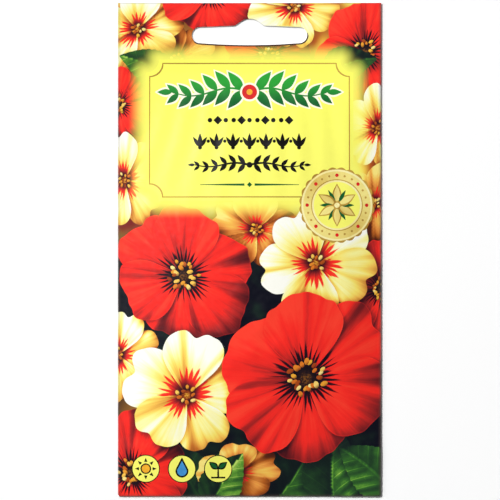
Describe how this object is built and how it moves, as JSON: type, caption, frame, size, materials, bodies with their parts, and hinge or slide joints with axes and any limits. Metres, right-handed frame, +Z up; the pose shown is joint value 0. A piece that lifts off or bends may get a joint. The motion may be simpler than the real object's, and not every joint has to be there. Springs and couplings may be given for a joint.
{
  "type": "seed packet",
  "caption": "Flat paper seed packet with a hang slot in its header, glued along its side, foot and header, and filled with large ribbed seeds.",
  "frame": {"origin": "on the surface the packet lies on, under the middle of its outline", "axes": "+Z up out of the printed front, which faces up; +Y along the packet's length towards the header and its hang slot; +X to the right of the front"},
  "size_m": [0.08, 0.15, 0.0068],
  "materials": {
    "printed_paper": "satin",
    "dry_glue": "matte",
    "seed_husk": "matte"
  },
  "bodies": {
    "root": {"packet_sheet": "printed_paper", "glue_side_seam": "dry_glue", "glue_bottom_flap": "dry_glue", "glue_header": "dry_glue", "seed_1": "seed_husk", "seed_2": "seed_husk", "seed_3": "seed_husk", "seed_4": "seed_husk", "seed_5": "seed_husk", "seed_6": "seed_husk", "seed_7": "seed_husk", "seed_8": "seed_husk"}
  },
  "joints": []
}
